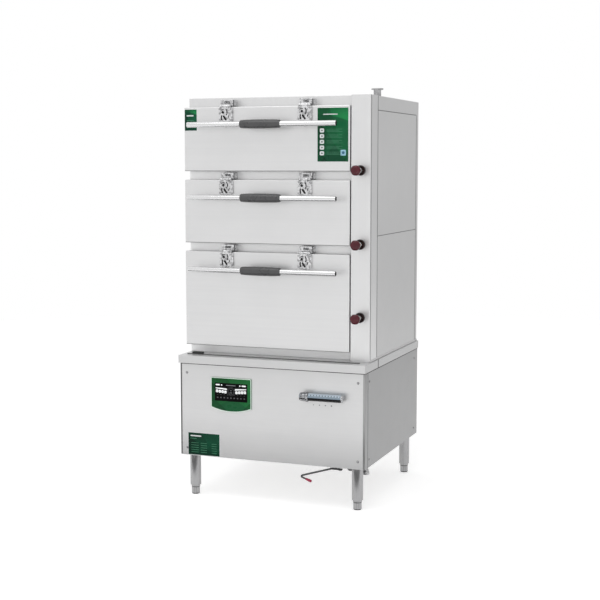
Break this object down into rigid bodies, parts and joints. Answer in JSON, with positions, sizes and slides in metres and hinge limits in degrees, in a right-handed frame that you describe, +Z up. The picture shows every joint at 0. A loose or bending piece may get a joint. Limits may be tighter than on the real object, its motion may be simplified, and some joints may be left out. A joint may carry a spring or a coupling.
{
  "type": "seafood steamer cabinet",
  "caption": "Stainless floor-standing steamer cabinet: lift-up doors with spring hinges and bar handles over a heated water base on tube legs, with steam valves, power slider and drain lever.",
  "frame": {"origin": "on the floor, under the middle of the whole cabinet's outline", "axes": "+X to the right seen from the front, +Y to the back, +Z up"},
  "size_m": [0.908, 0.9322, 1.884],
  "materials": {
    "front_steel": "light grey stainless steel, brushed along the width",
    "side_steel": "grey stainless steel, brushed upwards",
    "worktop_steel": "satin stainless steel with rounded edges",
    "chassis_paint": "grey paint on welded square tube",
    "leg_steel": "drawn stainless tube, satin",
    "inner_steel": "plain mill finish",
    "coil_copper": "lacquered copper winding",
    "inverter_paint": "grey powder coat",
    "fan_plastic": "black moulded plastic",
    "float_plastic": "off-white moulded plastic",
    "valve_brass": "plain brass",
    "drain_steel": "satin tube",
    "lever_black": "black plate with a plain steel rod",
    "lever_tip": "dipped red plastic",
    "control_panel": "green film over a black glass display",
    "slider_tube": "glossy tube, silver above and black below, with a fine scale",
    "chrome": "polished",
    "hinge_chrome": "polished casting",
    "seal_rubber": "grey silicone",
    "grip_plastic": "dark grey, slightly glossy",
    "knob_plastic": "wine red, glossy",
    "rock_wool": "loose mineral fibre"
  },
  "bodies": {
    "root": {"base_frame": "chassis_paint", "leg_base": "leg_steel", "base_front_panel": "front_steel", "base_right_panel": "side_steel", "base_wrap_panel": "side_steel", "worktop_tray": "worktop_steel", "water_tank": "inner_steel", "induction_coil": "coil_copper", "inverter_box": "inverter_paint", "float_valve": "valve_brass", "drain_pipe": "drain_steel", "control_panel": "control_panel", "power_slider_tube": "slider_tube", "upper_casing": "side_steel", "front_frame": "front_steel", "duct_cover": "front_steel", "side_cover_lower": "side_steel", "side_cover_upper": "side_steel", "chamber_insulation": "rock_wool", "steam_riser": "inner_steel", "rear_service_plate": "valve_brass", "chamber_top": "inner_steel", "rack_top": "inner_steel", "hinge_bracket_top_left": "hinge_chrome", "hinge_bracket_top_right": "hinge_chrome", "chamber_middle": "inner_steel", "rack_middle": "inner_steel", "hinge_bracket_middle_left": "hinge_chrome", "hinge_bracket_middle_right": "hinge_chrome", "chamber_bottom": "inner_steel", "rack_bottom": "inner_steel", "hinge_bracket_bottom_left": "hinge_chrome", "hinge_bracket_bottom_right": "hinge_chrome"},
    "door_top": {"door_top_skin": "front_steel", "door_top_liner": "inner_steel", "door_top_seal": "seal_rubber", "door_top_handle": "front_steel", "door_top_grip": "grip_plastic"},
    "door_middle": {"door_middle_skin": "front_steel", "door_middle_liner": "inner_steel", "door_middle_seal": "seal_rubber", "door_middle_handle": "front_steel", "door_middle_grip": "grip_plastic"},
    "door_bottom": {"door_bottom_skin": "front_steel", "door_bottom_liner": "inner_steel", "door_bottom_seal": "seal_rubber", "door_bottom_handle": "front_steel", "door_bottom_grip": "grip_plastic"},
    "knob_bottom": {"knob_bottom": "knob_plastic"},
    "knob_middle": {"knob_middle": "knob_plastic"},
    "knob_top": {"knob_top": "knob_plastic"},
    "power_slider": {"power_slider_ring": "chrome"},
    "drain_lever": {"drain_lever": "lever_black", "drain_lever_grip": "lever_tip"},
    "foot_front_left": {"foot_front_left": "leg_steel"},
    "foot_front_right": {"foot_front_right": "leg_steel"},
    "foot_rear_left": {"foot_rear_left": "leg_steel"},
    "foot_rear_right": {"foot_rear_right": "leg_steel"},
    "fan": {"fan_rotor": "fan_plastic"},
    "float": {"float_arm": "float_plastic"}
  },
  "joints": [
    {"name": "door_top_hinge", "type": "hinge", "parent": "root", "child": "door_top", "pos_m": [-0.0515, -0.3488, 1.804], "axis": [-1, 0, 0], "range_deg": [0, 95], "stiffness_Nm_per_rad": 2, "springref_deg": -114.59},
    {"name": "door_middle_hinge", "type": "hinge", "parent": "root", "child": "door_middle", "pos_m": [-0.0515, -0.3488, 1.475], "axis": [-1, 0, 0], "range_deg": [0, 95], "stiffness_Nm_per_rad": 2, "springref_deg": -114.59},
    {"name": "door_bottom_hinge", "type": "hinge", "parent": "root", "child": "door_bottom", "pos_m": [-0.0515, -0.3488, 1.146], "axis": [-1, 0, 0], "range_deg": [0, 95], "stiffness_Nm_per_rad": 2, "springref_deg": -114.59},
    {"name": "knob_bottom_turn", "type": "hinge", "parent": "root", "child": "knob_bottom", "pos_m": [0.40075, -0.3413, 0.8645], "axis": [0, -1, 0], "range_deg": [0, 810]},
    {"name": "knob_middle_turn", "type": "hinge", "parent": "root", "child": "knob_middle", "pos_m": [0.40075, -0.3413, 1.1895], "axis": [0, -1, 0], "range_deg": [0, 810]},
    {"name": "knob_top_turn", "type": "hinge", "parent": "root", "child": "knob_top", "pos_m": [0.40075, -0.3413, 1.5145], "axis": [0, -1, 0], "range_deg": [0, 810]},
    {"name": "power_slide", "type": "slide", "parent": "root", "child": "power_slider", "axis": [1, 0, 0], "range_m": [0, 0.145]},
    {"name": "drain_lever_turn", "type": "hinge", "parent": "root", "child": "drain_lever", "pos_m": [0.303, -0.3189, 0.16], "axis": [0, 0, 1], "range_deg": [0, 90]},
    {"name": "foot_front_left_turn", "type": "hinge", "parent": "root", "child": "foot_front_left", "pos_m": [-0.4005, -0.3644, 0.02], "axis": [0, 0, 1], "continuous": true},
    {"name": "foot_front_right_turn", "type": "hinge", "parent": "root", "child": "foot_front_right", "pos_m": [0.4005, -0.3644, 0.02], "axis": [0, 0, 1], "continuous": true},
    {"name": "foot_rear_left_turn", "type": "hinge", "parent": "root", "child": "foot_rear_left", "pos_m": [-0.4005, 0.3866, 0.02], "axis": [0, 0, 1], "continuous": true},
    {"name": "foot_rear_right_turn", "type": "hinge", "parent": "root", "child": "foot_rear_right", "pos_m": [0.4005, 0.3866, 0.02], "axis": [0, 0, 1], "continuous": true},
    {"name": "fan_spin", "type": "hinge", "parent": "root", "child": "fan", "pos_m": [-0.2445, 0.3956, 0.2613], "axis": [0, 1, 0], "continuous": true},
    {"name": "float_swing", "type": "hinge", "parent": "root", "child": "float", "pos_m": [0.3, 0.3311, 0.572], "axis": [-1, 0, 0], "range_deg": [0, 45]}
  ]
}
